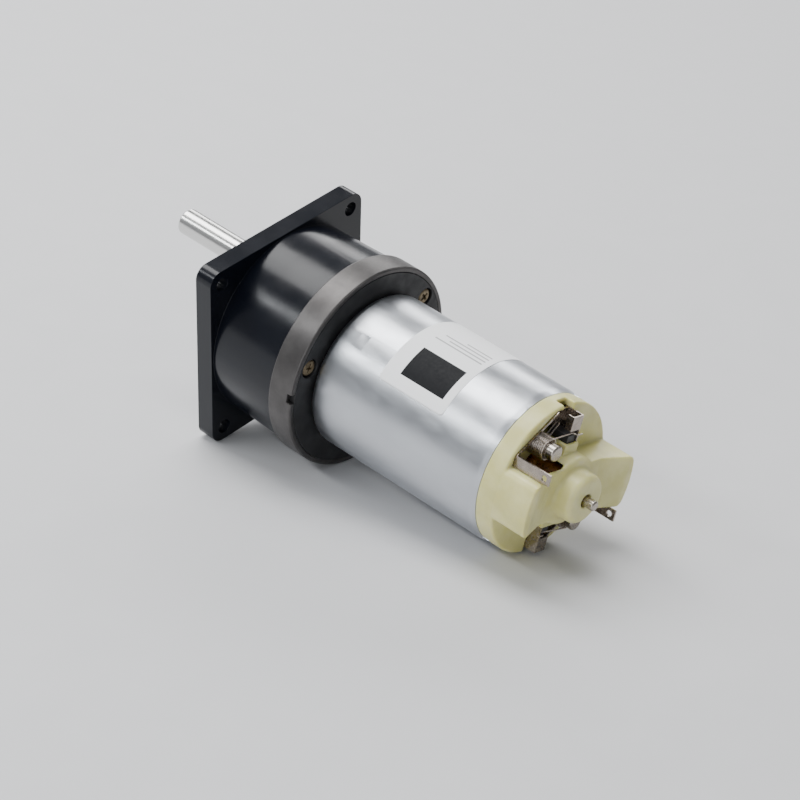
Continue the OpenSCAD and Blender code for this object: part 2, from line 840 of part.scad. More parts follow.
module end_turns(x, way) {
    turned(concat([[core_hub_r, x]],
        [[core_r - shoe_t - 0.3, x]],
        arc([core_r - shoe_t - 2.3, x + way * (winding_over - 2)], 2, 0, way * 90),
        arc([core_hub_r + 1.5, x + way * (winding_over - 1.5)], 1.5, way * 90, way * 180)));
}

module windings() {
    color(copper) {
        slab(x_core, x_core_front) offset_slots();
        end_turns(x_core_front, 1);
        end_turns(x_core, -1);
    }
}

// Slot shape drawn a little smaller on every side, so that the wire clears the iron
module offset_slots() {
    difference() {
        circle(r = core_r - shoe_t - 0.3);
        circle(r = core_hub_r);
        for (i = [0:poles - 1]) {
            rotate(360 * i / poles) translate([0, -tooth_neck / 2 - 0.1])
                square([core_r, tooth_neck + 0.2]);
        }
    }
}

module commutator() {
    riser_len = 1.2;
    slit = 0.4;
    slit_depth = 0.8;
    color(copper) difference() {
        union() {
            ring(x_commutator, commutator_front, commutator_r, motor_shaft_r + press);
            ring(commutator_front - riser_len, commutator_front, commutator_r + 0.8, motor_shaft_r + press);
        }
        for (i = [0:poles - 1]) {
            rotate([360 * (i + 0.5) / poles, 0, 0])
                translate([x_commutator - cut, commutator_r - slit_depth, -slit / 2])
                    cube([commutator_front - x_commutator + 2 * cut, commutator_r, slit]);
        }
    }
}

module rotor_spacers() {
    color(fibre) {
        ring(x_core_front, x_front_bearing - end_play, motor_shaft_r + spacer_wall, motor_shaft_r + press);
        ring(commutator_front, x_core, motor_shaft_r + spacer_wall, motor_shaft_r + press);
        ring(x_rear_bearing_front + 0.1, x_commutator, motor_shaft_r + end_spacer_wall,
             motor_shaft_r + press);
    }
}

// End cap and brush gear, drawn in the bridge's frame

// Opening in the disc beside the bridge, with the tunnel for the brush left standing
module pocket_shape() {
    out = (sheet_t + slip) * [cos((strip_from + strip_to) / 2), sin((strip_from + strip_to) / 2)];
    far = -tube_w / 2 - slip;
    difference() {
        union() {
            polygon([[strip_a[0], bridge_w / 2], strip_a + out, strip_b + out,
                     [far, strip_b[1] + out[1]], [far, bridge_w / 2]]);
            translate([strip_a[0] - sheet_t, bridge_w / 2])
                square([1.5 * sheet_t + slip, tab_mid + tab_half + slip - bridge_w / 2]);
        }
        circle(r = hub_r);
        tunnel_shape();
    }
}

module tunnel_shape() {
    translate([-tunnel_half, 0]) square([2 * tunnel_half, tunnel_end]);
}

// Tongue of the floor that carries a spring post
module post_tongue() {
    out = 3 * [cos((strip_from + strip_to) / 2), sin((strip_from + strip_to) / 2)];
    across = post_boss_r * [sin((strip_from + strip_to) / 2), -cos((strip_from + strip_to) / 2)];
    polygon([spring_at + across, spring_at + across + 2 * out,
             spring_at - across + 2 * out, spring_at - across]);
}

module brush_pocket() {
    difference() {
        slab(x_disc - cut, x_floor) pocket_shape();
        at(spring_at) rod(x_post_boss, x_floor + cut, post_boss_r);
    }
    difference() {
        slab(x_floor - cut, x_can + spigot_len + cut) intersection() {
            pocket_shape();
            circle(r = cap_r - rim_step - can_wall - cap_wall);
        }
        slab(x_floor - 2 * cut, x_can) post_tongue();
        at(spring_at) rod(x_post_boss, x_can, post_boss_r);
    }
    at(spring_at) rod(x_disc - cut, x_can + cut, post_r);
}

// Way of the brush through the tunnel and room for the metal tube outside it
module brush_way() {
    translate([x_tube + tube_wall, -tube_in_w / 2, 0]) cube([tube_in_h, tube_in_w, can_r]);
    translate([x_tube - slip, -tube_w / 2 - slip, tunnel_end])
        cube([tube_h + 2 * slip, tube_w + 2 * slip, can_r]);
}

// Hollow under one arm of the bridge, open towards the motor
module arm_hollow() {
    from = hub_r + 0.4;
    translate([x_commutator_room, from, cap_wall - bridge_w / 2])
        cube([x_can + cut - x_commutator_room, saddle_out - from, bridge_w - 2 * cap_wall]);
}

// Bridge seen from the rear, with rounded corners where it meets the cap's edge
module bridge_shape() {
    a = block_at[0];
    b = block_at[1];
    polygon(concat([on_circle(cap_r, -block_turn / 2), on_circle(cap_r, 0), on_circle(cap_r, block_turn / 2)],
                   arc([a, b], block_round, block_turn, 90), arc([-a, b], block_round, 90, 180 - block_turn),
                   [on_circle(cap_r, 180 - block_turn / 2), on_circle(cap_r, 180),
                    on_circle(cap_r, 180 + block_turn / 2)],
                   arc([-a, -b], block_round, 180 + block_turn, 270),
                   arc([a, -b], block_round, 270, full_turn - block_turn)));
}

// Bridge seen from its side, lower in the middle than at its ends
module saddle() {
    far = cap_r + cut;
    translate([0, 0, -bridge_w]) linear_extrude(height = 2 * bridge_w)
        polygon([[x_disc + cut, -far], [x_bridge, -far], [x_bridge, -saddle_out], [x_saddle, -saddle_in],
                 [x_saddle, saddle_in], [x_bridge, saddle_out], [x_bridge, far], [x_disc + cut, far]]);
}

module cap_body() {
    spigot_out = can_in_r - slip;
    step_out = can_in_r - rim_step - slip;
    round_at = [cap_r - disc_round, x_disc + disc_round];
    turned(concat([[0, x_can], [cap_r, x_can]], arc(round_at, disc_round, 0, -90), [[0, x_disc]]));
    turned([[step_out - cap_wall, x_can], [step_out, x_can], [step_out, x_rim + 0.1],
            [spigot_out, x_rim + 0.1], [spigot_out, x_can + spigot_len],
            [step_out - cap_wall, x_can + spigot_len]]);
    intersection() {
        slab(x_bridge, x_disc) bridge_shape();
        saddle();
    }
    turned(concat([[0, x_disc], [hub_r, x_disc]],
                  arc([hub_r - hub_round, x_saddle + hub_round], hub_round, 0, -90),
                  arc([dome_r + dome_fillet, x_saddle - dome_fillet], dome_fillet, 90, 180),
                  arc([dome_r - dome_round, x_hub + dome_round], dome_round, 0, -90), [[0, x_hub]]));
    for (turn = [0, 180]) {
        rotate([turn, 0, 0]) slab(x_tunnel, x_disc) tunnel_shape();
    }
}

module end_cap() {
    color(nylon) rotate([bridge_angle, 0, 0]) difference() {
        cap_body();
        ring(x_commutator_room, x_can + cut, commutator_room_r);
        ring(x_rear_bearing, x_commutator_room + cut, bearing_r);
        rod(x_hub - cut, x_rear_bearing + cut, motor_shaft_r + 0.4);
        for (turn = [0, 180]) {
            rotate([turn, 0, 0]) {
                brush_pocket();
                brush_way();
                arm_hollow();
            }
            rotate([tab_angle - bridge_angle + turn, 0, 0])
                translate([x_can - crimp_h - slip, cap_r - crimp_reach - slip, -crimp_w / 2 - slip])
                    cube([crimp_h + slip, crimp_reach + cut, crimp_w + 2 * slip]);
        }
    }
}

module brush_holder() {
    way = (strip_b - strip_a) / norm(strip_b - strip_a);
    across = sheet_t * [-way[1], way[0]];
    near = tube_in_w / 2;
    difference() {
        union() {
            slab(x_strip, x_strip_front)
                polygon([strip_a, strip_a - across, strip_b - across, strip_b]);
            translate([x_disc - tab_len, strip_a[0] - sheet_t / 2, tab_mid - tab_half])
                cube([x_strip_front - x_disc + tab_len, sheet_t, tab_w]);
            slab(x_inner_plate, x_inner_plate + inner_plate_t)
                polygon([[-near - tube_wall / 2, plate_edge], [plate_corner, plate_edge],
                         strip_b - across / 2 - plate_joint * way, strip_b - across / 2,
                         [-near - tube_wall / 2, tube_outer_end]]);
            difference() {
                translate([x_tube, -tube_w / 2, tube_inner_end])
                    cube([tube_h, tube_w, tube_outer_end - tube_inner_end]);
                translate([x_tube + tube_wall, -near, tube_inner_end - cut])
                    cube([tube_in_h, tube_in_w, can_r]);
                translate([x_tube - cut, -near, tube_inner_end - cut])
                    cube([tube_in_h, can_r, tube_back_from - tube_inner_end + cut]);
                translate([x_tube + tube_lip, 0, tube_inner_end - cut])
                    cube([tube_h - tube_lip - tube_wall, can_r, can_r]);
            }
        }
        translate([x_disc - tab_len + tab_hole_d, 0, tab_mid]) rotate([-90, 0, 0])
            cylinder(h = can_r, r = tab_hole_d / 2);
    }
}

module brush() {
    difference() {
        translate([x_brush, -brush_half, 0]) cube([brush_h, brush_w, brush_end]);
        rod(x_brush - cut, x_brush + brush_h + cut, brush_start);
    }
}

function tangent(t) = [-sin(t), cos(t)];
function unit(v) = v / norm(v);
function spatial(x, p) = [x, p[0], p[1]];

// Wire of a brush spring: a hairpin against the holder, the coil, a leg to the brush and a hook
function spring_path() =
    let (coil_start = spring_at + on_circle(spring_r, anchor_turn))
    let (bend_at = coil_start - anchor_reach * anchor_way)
    concat(
        [spatial(x_anchor, coil_start - anchor_return * anchor_way),
         spatial(x_anchor, bend_at + anchor_bend * anchor_way),
         spatial(x_anchor + anchor_bend / 2, bend_at),
         spatial(x_spring - anchor_bend / 2, bend_at),
         spatial(x_spring, bend_at + anchor_bend * anchor_way)],
        [for (t = [0:full_turn / coil_steps:coil_sweep])
            spatial(x_spring - spring_pitch * t / full_turn,
                    spring_at + on_circle(spring_r, anchor_turn + t))],
        [spatial(x_coil_end, spring_at + on_circle(spring_r, leg_turn)),
         spatial(x_leg_end, leg_to),
         spatial(x_hook, leg_to - [wire_d, 0]),
         spatial(x_hook, leg_to - [hook_len + wire_d, 0])]);

// Directions across a path, each turned as little as possible from the one before
function carried(side, aheads, i = 0) =
    i == len(aheads) ? [] :
    let (next = unit(side - (side * aheads[i]) * aheads[i])) concat([next], carried(next, aheads, i + 1));

module wire(path, r, sides) {
    last = len(path) - 1;
    aheads = [for (i = [0:last]) unit(path[min(i + 1, last)] - path[max(i - 1, 0)])];
    across = carried([1, 0, 0], aheads);
    rings = [for (i = [0:last]) let (up = cross(across[i], aheads[i]))
        [for (t = [0:full_turn / sides:full_turn - 1]) path[i] + r * (cos(t) * across[i] + sin(t) * up)]];
    quads = [for (i = [0:last - 1]) for (k = [0:sides - 1])
        let (next = (k + 1) % sides)
        [i * sides + k, i * sides + next, (i + 1) * sides + next, (i + 1) * sides + k]];
    ends = [[for (k = [sides - 1:-1:0]) k], [for (k = [0:sides - 1]) last * sides + k]];
    polyhedron(points = [for (r = rings) each r], faces = concat(quads, ends));
}

module brush_spring() {
    wire(spring_path(), wire_d / 2, wire_sides);
}

module spring_post() {
    chamfer = 0.3;
    at(spring_at) turned([[0, x_post], [post_r - chamfer, x_post], [post_r, x_post + chamfer],
                          [post_r, x_can], [0, x_can]]);
}

// Puts a brush gear piece above the bridge, or below it by half a turn
module upper() {
    rotate([bridge_angle, 0, 0]) children();
}

module lower() {
    rotate([bridge_angle + 180, 0, 0]) children();
}

gearbox_housing();
cover_band();
rear_plate();
gearbox_screws();
motor_screws();
output_bush();
output_rear_bush();
idler_pin(pin_a);  // idler_pin_a
idler_pin(pin_b);  // idler_pin_b
idler_washer();
idler_spacer();
output_shaft();
output_wheel();
thrust_washer();
first_wheel();
first_pinion();
second_wheel();
second_pinion();
motor_can();
label();
magnets();
magnet_clips();
front_bearing();
rear_bearing();
motor_shaft();
motor_pinion();
armature_core();
windings();
commutator();
rotor_spacers();
end_cap();
color(steel) upper() brush_holder();  // upper_brush_holder
color(steel) lower() brush_holder();  // lower_brush_holder
color(carbon) upper() brush();  // upper_brush
color(carbon) lower() brush();  // lower_brush
color(steel) upper() brush_spring();  // upper_brush_spring
color(steel) lower() brush_spring();  // lower_brush_spring
color(steel) upper() spring_post();  // upper_spring_post
color(steel) lower() spring_post();  // lower_spring_post
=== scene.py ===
"""Dresses the gear motor: the finish of every piece, its fine shapes, and the floor, lights and camera.

Everything is in metres in the motor's own frame: +X out along the output shaft, +Z up, the origin on
the flange's mounting face. Angles about the motor's axis count from +Y towards +Z.
"""

import json
import math

import bmesh
import bpy
from mathutils import Matrix, Vector

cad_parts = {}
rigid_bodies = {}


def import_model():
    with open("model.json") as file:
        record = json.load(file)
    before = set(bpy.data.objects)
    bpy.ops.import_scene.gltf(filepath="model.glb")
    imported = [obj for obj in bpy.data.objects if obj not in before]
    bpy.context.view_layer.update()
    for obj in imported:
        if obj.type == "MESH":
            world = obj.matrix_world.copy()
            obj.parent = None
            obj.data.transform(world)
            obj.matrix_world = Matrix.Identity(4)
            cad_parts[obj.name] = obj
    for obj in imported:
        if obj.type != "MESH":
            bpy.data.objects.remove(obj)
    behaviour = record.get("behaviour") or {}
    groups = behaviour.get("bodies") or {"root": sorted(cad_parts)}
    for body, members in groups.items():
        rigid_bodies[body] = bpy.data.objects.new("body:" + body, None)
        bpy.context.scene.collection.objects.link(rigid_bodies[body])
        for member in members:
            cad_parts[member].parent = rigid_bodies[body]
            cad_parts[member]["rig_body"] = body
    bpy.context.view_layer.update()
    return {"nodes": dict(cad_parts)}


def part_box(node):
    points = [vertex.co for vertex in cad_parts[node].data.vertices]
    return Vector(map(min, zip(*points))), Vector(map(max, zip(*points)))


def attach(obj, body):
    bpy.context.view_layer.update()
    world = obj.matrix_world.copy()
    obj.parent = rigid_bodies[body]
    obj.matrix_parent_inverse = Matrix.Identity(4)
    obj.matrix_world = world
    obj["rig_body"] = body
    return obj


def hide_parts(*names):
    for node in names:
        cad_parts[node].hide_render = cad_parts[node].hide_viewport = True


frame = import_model()
NODES = frame["nodes"]

MM = 0.001

# Camera, as the photograph was taken
PHOTO_WIDTH = 800
CAMERA_PLACE = Vector((-0.39259, 0.38942, 0.42407))
CAMERA_TARGET = Vector((-0.05327, 0.01598, 0.01430))
CAMERA_ROLL = math.radians(1.87)
CAMERA_LENS = 142.14
CAMERA_SENSOR = 36
CAMERA_SHIFT = -1 / PHOTO_WIDTH
CAMERA_NEAR = 0.01

# The motor lies on its band, its end cap and one flange corner, so the floor is tilted in its frame
FLOOR_SLOPE = math.radians(6.8)
FLOOR_ROLL = math.radians(12)
FLOOR_SIZE = 3.0

# Studio light; the panels face the middle of the motor
MOTOR_MIDDLE = Vector((-0.04, 0, 0))
SKY_COLOUR = (0.80, 0.82, 0.85, 1)
SKY_STRENGTH = 0.42
WHITE_LIGHT = (1, 1, 1)
COOL_LIGHT = (0.95, 0.98, 1)
WINDOW_LIGHT = (0.94, 0.97, 1)

# Copies of solids: points within SAME_POINT millimetres are joined, and so are faces that bend by less
# than SAME_PLANE; edges that bend by more than SHARP_ANGLE are rounded over
SAME_POINT = 0.0005
SAME_PLANE = math.radians(0.3)
ROUNDING_STEPS = 3
SHARP_ANGLE = math.radians(32)
LARGE_FACE_WEIGHT = 50

# Edge rounding of each solid that gets a rounded copy, in millimetres
EDGE_ROUNDING = {
    "gearbox_housing": 0.5,
    "cover_band": 0.25,
    "rear_plate": 0.2,
    "gearbox_screws": 0.15,
    "motor_can": 0.15,
    "output_bush": 0.15,
    "output_shaft": 0.12,
    "motor_shaft": 0.1,
    "upper_brush_holder": 0.07,
    "lower_brush_holder": 0.07,
    "upper_brush": 0.12,
    "lower_brush": 0.12,
    "upper_spring_post": 0.15,
    "lower_spring_post": 0.15,
    "rear_bearing": 0.12,
}

# End cap moulding, in millimetres; the bridge's windows in the frame of the bridge
CAP_GRID = 0.2
CAP_SOFTENING = 0.5
CAP_SOFTENING_ROUNDS = 5
CAP_KEPT = 0.5
BRIDGE_ANGLE = math.radians(18)
WINDOW_X = (-86.1, -77.6)
WINDOW_ALONG = (2.35, 13.4)
WINDOW_ACROSS = (1.0, 6.6)

# Brush springs in the frame of the bridge, in millimetres
SPRING_WIRE = 0.34
SPRING_SIDES = 12
SPRING_AT = Vector((7.4, 9.9))
COIL_RADIUS = 2.4
COIL_TURNS = 10
COIL_LEAD = 0.4392
COIL_X = -79.55
COIL_STEPS = 40
ANCHOR_X = -80.36
ANCHOR_TURN = math.radians(225)
ANCHOR_REACH = 6.8
ANCHOR_RETURN = 2.3
HAIRPIN_STEPS = 8
LEG_X = -83.09
LEG_TO = Vector((-0.7, 11.76))
LEG_SHARES = (0.33, 0.66, 0.95)
HOOK_STEPS = ((-0.5, -0.04, 0), (-0.95, -0.16, 0), (-1.13, -0.4, 0), (-1.17, -0.8, 0), (-1.17, -1.76, 0))

# Armature winding, in millimetres
POLES = 5
POLE_NECK = 3.8
TURNS_IN = 5.3
TURNS_OUT = 11.0
TURNS_PITCH = 0.46
TURNS_WIRE = 0.42
TURNS_SIDES = 6
TURNS_LAYERS = 7
SLOT_GAP = 0.3
TIP_ROOM = 0.2
NECK_GAP = 0.35
END_GAP = 0.4
END_STEP = 0.55
TURN_POINTS = 20
END_ROUNDNESS = 0.3
SIDE_ROUNDNESS = 0.5

# Label on the can, in millimetres
CAN_RADIUS = 18.0
LABEL_LIFT = 0.07
LABEL_ROUND = 1.0
LABEL_FROM = math.radians(45)
LABEL_TO = math.radians(135)
LABEL_ROWS = 60
LABEL_COLUMNS = 24
CORNER_STEPS = 8
PAPER_WHITE = (0.95, 0.955, 0.96)
PRINT_BLACK = (0.006, 0.0065, 0.008)

# Plain marks on the label: x limits in millimetres, angle limits in degrees, and how dark each is
LABEL_MARKS = [
    ((-60.0, -48.0), (55.0, 80.0), 1.0),
    ((-60.5, -47.5), (92.0, 93.2), 0.6),
    ((-60.5, -50.5), (95.6, 96.8), 0.6),
    ((-60.5, -48.5), (99.2, 100.4), 0.6),
    ((-60.5, -53.5), (102.8, 104.0), 0.6),
]
MARK_BLUR = 0.05
MARK_BLUR_ANGLE = math.radians(0.15)

# Most of a noise pattern's values lie between these
NOISE_LOW = 0.35
NOISE_HIGH = 0.65


# Parts of a finish

def finish(name, colour, metallic, roughness, **sockets):
    """A material whose constants sit on the shader's own sockets."""
    material = bpy.data.materials.new(name)
    material.use_nodes = True
    tree = material.node_tree
    tree.nodes.clear()
    shader = tree.nodes.new("ShaderNodeBsdfPrincipled")
    output = tree.nodes.new("ShaderNodeOutputMaterial")
    tree.links.new(shader.outputs["BSDF"], output.inputs["Surface"])
    shader.inputs["Base Color"].default_value = (*colour, 1)
    shader.inputs["Metallic"].default_value = metallic
    shader.inputs["Roughness"].default_value = roughness
    for socket, value in sockets.items():
        shader.inputs[socket.replace("_", " ")].default_value = value
    material.diffuse_color = (*colour, 1)
    return material


def shader_of(material):
    return next(n for n in material.node_tree.nodes if n.type == "BSDF_PRINCIPLED")


def place_noise(tree, size_mm, stretch=(1, 1, 1), detail=4.0):
    """Noise on object coordinates whose grains are about size_mm across."""
    place = tree.nodes.new("ShaderNodeTexCoord")
    mapping = tree.nodes.new("ShaderNodeMapping")
    mapping.inputs["Scale"].default_value = stretch
    noise = tree.nodes.new("ShaderNodeTexNoise")
    noise.inputs["Scale"].default_value = 1 / (size_mm * MM)
    noise.inputs["Detail"].default_value = detail
    tree.links.new(place.outputs["Object"], mapping.inputs["Vector"])
    tree.links.new(mapping.outputs["Vector"], noise.inputs["Vector"])
    return noise.outputs["Fac"]


def spread(tree, source, low, high, start=NOISE_LOW, stop=NOISE_HIGH):
    """Maps what lies between start and stop on to low to high."""
    node = tree.nodes.new("ShaderNodeMapRange")
    node.inputs["From Min"].default_value = start
    node.inputs["From Max"].default_value = stop
    node.inputs["To Min"].default_value = low
    node.inputs["To Max"].default_value = high
    tree.links.new(source, node.inputs["Value"])
    return node.outputs["Result"]


def maths(tree, operation, *values):
    """Result of a math node whose inputs are other nodes' results or plain numbers."""
    node = tree.nodes.new("ShaderNodeMath")
    node.operation = operation
    for socket, value in zip(node.inputs, values):
        if isinstance(value, bpy.types.NodeSocket):
            tree.links.new(value, socket)
        else:
            socket.default_value = value
    return node.outputs["Value"]


def vary_roughness(material, size_mm, low, high, stretch=(1, 1, 1)):
    """Lets the roughness wander between low and high."""
    tree = material.node_tree
    noise = place_noise(tree, size_mm, stretch)
    tree.links.new(spread(tree, noise, low, high), shader_of(material).inputs["Roughness"])


def vary_colour(material, size_mm, dark, light, stretch=(1, 1, 1), start=NOISE_LOW, stop=NOISE_HIGH):
    """Clouds the colour between dark and light."""
    tree = material.node_tree
    ramp = tree.nodes.new("ShaderNodeValToRGB")
    first, last = ramp.color_ramp.elements
    first.position = start
    last.position = stop
    first.color = (*dark, 1)
    last.color = (*light, 1)
    tree.links.new(place_noise(tree, size_mm, stretch), ramp.inputs["Fac"])
    tree.links.new(ramp.outputs["Color"], shader_of(material).inputs["Base Color"])


def add_bump(material, size_mm, depth_mm, stretch=(1, 1, 1), detail=2.0):
    """Fine relief, depth_mm deep."""
    tree = material.node_tree
    bump = tree.nodes.new("ShaderNodeBump")
    bump.inputs["Strength"].default_value = 1.0
    bump.inputs["Distance"].default_value = depth_mm * MM
    tree.links.new(place_noise(tree, size_mm, stretch, detail), bump.inputs["Height"])
    tree.links.new(bump.outputs["Normal"], shader_of(material).inputs["Normal"])


# Finishes of the gearbox

def cast_lacquer():
    """Blue-black baked lacquer on a zinc casting, with a faint orange peel."""
    material = finish("cast_lacquer", colour=(0.003, 0.004, 0.0075), metallic=0.0, roughness=0.22,
                      Specular_IOR_Level=0.3)
    vary_colour(material, size_mm=9, dark=(0.0026, 0.0034, 0.0065), light=(0.0036, 0.0048, 0.0085))
    vary_roughness(material, size_mm=5, low=0.2, high=0.25)
    add_bump(material, size_mm=1.1, depth_mm=0.002)
    return material


def band_steel():
    """Drawn steel band with a dark oxide film and fine rolling lines round it."""
    material = finish("band_steel", colour=(0.085, 0.08, 0.078), metallic=0.85, roughness=0.4)
    vary_colour(material, size_mm=5, dark=(0.072, 0.068, 0.067), light=(0.10, 0.095, 0.093))
    vary_roughness(material, size_mm=0.8, low=0.36, high=0.46, stretch=(6, 1, 1))
    add_bump(material, size_mm=0.5, depth_mm=0.003, stretch=(8, 1, 1))
    return material


def black_oxide():
    """Matt blackened steel of the rear plate."""
    material = finish("black_oxide", colour=(0.02, 0.02, 0.021), metallic=0.4, roughness=0.5)
    vary_colour(material, size_mm=3, dark=(0.012, 0.012, 0.013), light=(0.026, 0.026, 0.027))
    vary_roughness(material, size_mm=1.5, low=0.42, high=0.6)
    add_bump(material, size_mm=0.4, depth_mm=0.005)
    return material


def dull_brass():
    """Brass screws gone brown in their recesses."""
    material = finish("dull_brass", colour=(0.22, 0.175, 0.11), metallic=0.9, roughness=0.5)
    vary_colour(material, size_mm=0.9, dark=(0.14, 0.11, 0.07), light=(0.27, 0.215, 0.135))
    vary_roughness(material, size_mm=0.5, low=0.42, high=0.6)
    add_bump(material, size_mm=0.2, depth_mm=0.003)
    return material


def yellow_brass():
    """Hobbed brass of the wheels and the motor's pinion."""
    material = finish("yellow_brass", colour=(0.78, 0.60, 0.28), metallic=1.0, roughness=0.3)
    vary_roughness(material, size_mm=0.5, low=0.22, high=0.42)
    add_bump(material, size_mm=0.2, depth_mm=0.002)
    return material


def turned_steel(name, colour, roughness):
    """Round steel bar with fine rings across the axis."""
    material = finish(name, colour, metallic=1.0, roughness=roughness)
    vary_roughness(material, size_mm=0.5, low=roughness * 0.9, high=roughness * 1.25, stretch=(6, 1, 1))
    add_bump(material, size_mm=0.3, depth_mm=0.0004, stretch=(5, 1, 1))
    return material


def oiled_bronze():
    """Sintered bronze, porous and dark with oil."""
    material = finish("oiled_bronze", colour=(0.42, 0.27, 0.13), metallic=1.0, roughness=0.5)
    vary_colour(material, size_mm=0.3, dark=(0.28, 0.17, 0.08), light=(0.48, 0.32, 0.16))
    add_bump(material, size_mm=0.12, depth_mm=0.01, detail=5.0)
    return material


# Finishes of the motor

def zinc_plate():
    """Satin zinc plate on drawn steel, faintly clouded and drawn along the can."""
    material = finish("zinc_plate", colour=(0.54, 0.56, 0.59), metallic=1.0, roughness=0.32)
    vary_colour(material, size_mm=11, dark=(0.50, 0.52, 0.55), light=(0.575, 0.595, 0.625),
                stretch=(0.5, 1, 1), start=0.3, stop=0.7)
    vary_roughness(material, size_mm=2.2, low=0.29, high=0.36, stretch=(0.4, 1, 1))
    add_bump(material, size_mm=0.5, depth_mm=0.0008, stretch=(0.2, 1, 1))
    return material


def enamelled_copper():
    """Winding wire under clear enamel."""
    material = finish("enamelled_copper", colour=(0.55, 0.20, 0.07), metallic=0.85, roughness=0.28,
                      Coat_Weight=0.7, Coat_Roughness=0.1)
    vary_colour(material, size_mm=1.0, dark=(0.44, 0.14, 0.05), light=(0.66, 0.27, 0.10))
    return material


def bare_copper():
    """Commutator copper, scored round by the brushes."""
    material = finish("bare_copper", colour=(0.78, 0.42, 0.27), metallic=1.0, roughness=0.3)
    vary_roughness(material, size_mm=0.25, low=0.2, high=0.45, stretch=(0.3, 1, 1))
    return material


def dark_ferrite():
    """Pressed and fired magnet ferrite."""
    material = finish("dark_ferrite", colour=(0.045, 0.045, 0.05), metallic=0.0, roughness=0.6)
    add_bump(material, size_mm=0.25, depth_mm=0.01, detail=5.0)
    return material


def laminated_iron():
    """Stacked iron sheets, seen as rings along the axis."""
    material = finish("laminated_iron", colour=(0.33, 0.32, 0.31), metallic=1.0, roughness=0.4)
    vary_roughness(material, size_mm=0.5, low=0.3, high=0.5, stretch=(3, 0.2, 0.2))
    add_bump(material, size_mm=0.5, depth_mm=0.02, stretch=(3, 0.05, 0.05), detail=0.0)
    return material


def red_fibre():
    """Vulcanised fibre of the insulating sleeves."""
    material = finish("red_fibre", colour=(0.36, 0.15, 0.08), metallic=0.0, roughness=0.6)
    vary_colour(material, size_mm=0.6, dark=(0.28, 0.11, 0.06), light=(0.44, 0.20, 0.11))
    return material


def position_on_can(tree):
    """The place along the can and the angle round it, for a pattern on the label."""
    place = tree.nodes.new("ShaderNodeTexCoord")
    split = tree.nodes.new("ShaderNodeSeparateXYZ")
    tree.links.new(place.outputs["Object"], split.inputs["Vector"])
    return split.outputs["X"], maths(tree, "ARCTAN2", split.outputs["Z"], split.outputs["Y"])


def limits_mask(tree, source, low, high, blur):
    """One inside the limits and zero outside them, with blurred ends."""
    rise = spread(tree, source, 0, 1, low - blur, low + blur)
    fall = spread(tree, source, 0, 1, high + blur, high - blur)
    return maths(tree, "MULTIPLY", rise, fall)


def label_paper():
    """White label with a plain dark bar and a few thin ruled lines."""
    material = finish("label_paper", PAPER_WHITE, metallic=0.0, roughness=0.55, Specular_IOR_Level=0.14)
    tree = material.node_tree
    along_can, round_can = position_on_can(tree)
    inked = 0.0
    for x_limits, angle_limits, dark in LABEL_MARKS:
        along = limits_mask(tree, along_can, *(x * MM for x in x_limits), MARK_BLUR * MM)
        across = limits_mask(tree, round_can, *map(math.radians, angle_limits), MARK_BLUR_ANGLE)
        mark = maths(tree, "MULTIPLY", along, across)
        inked = maths(tree, "MULTIPLY_ADD", mark, dark, inked)
    print_ink = tree.nodes.new("ShaderNodeMix")
    print_ink.data_type = "RGBA"
    bare, printed = (socket for socket in print_ink.inputs if socket.type == "RGBA")
    bare.default_value = (*PAPER_WHITE, 1)
    printed.default_value = (*PRINT_BLACK, 1)
    tree.links.new(inked, print_ink.inputs["Factor"])
    mixed = next(socket for socket in print_ink.outputs if socket.type == "RGBA")
    tree.links.new(mixed, shader_of(material).inputs["Base Color"])
    vary_roughness(material, size_mm=0.6, low=0.5, high=0.62)
    add_bump(material, size_mm=0.25, depth_mm=0.002)
    return material


# Finishes of the end cap and the brush gear

def cream_nylon():
    """Translucent unfilled nylon: cream, olive where it is thick or shaded."""
    material = finish("cream_nylon", colour=(0.66, 0.625, 0.28), metallic=0.0, roughness=0.36,
                      Subsurface_Weight=0.6, Subsurface_Scale=1.6 * MM, Specular_IOR_Level=0.5)
    shader_of(material).inputs["Subsurface Radius"].default_value = (1.0, 0.85, 0.2)
    vary_colour(material, size_mm=5, dark=(0.61, 0.575, 0.24), light=(0.71, 0.675, 0.33))
    vary_roughness(material, size_mm=1.2, low=0.3, high=0.44)
    add_bump(material, size_mm=1.6, depth_mm=0.008)
    return material


def nickel_sheet():
    """Nickel plate on the thin brush holder sheet."""
    material = finish("nickel_sheet", colour=(0.35, 0.305, 0.265), metallic=1.0, roughness=0.24)
    vary_colour(material, size_mm=1.5, dark=(0.31, 0.27, 0.235), light=(0.39, 0.34, 0.295))
    vary_roughness(material, size_mm=0.7, low=0.2, high=0.32)
    add_bump(material, size_mm=0.3, depth_mm=0.001)
    return material


def spring_wire():
    """Plated spring wire, warm grey."""
    material = finish("spring_wire", colour=(0.50, 0.44, 0.39), metallic=1.0, roughness=0.26)
    vary_roughness(material, size_mm=0.2, low=0.2, high=0.34)
    return material


def post_metal():
    """Plated spring posts and shaft end, warmer than the ground bar."""
    material = finish("post_metal", colour=(0.42, 0.38, 0.335), metallic=1.0, roughness=0.26)
    vary_roughness(material, size_mm=0.4, low=0.22, high=0.32, stretch=(5, 1, 1))
    add_bump(material, size_mm=0.3, depth_mm=0.0004, stretch=(5, 1, 1))
    return material


def pressed_carbon():
    """Brush carbon, dark and slightly grainy."""
    material = finish("pressed_carbon", colour=(0.035, 0.035, 0.037), metallic=0.2, roughness=0.45)
    add_bump(material, size_mm=0.2, depth_mm=0.006, detail=4.0)
    return material


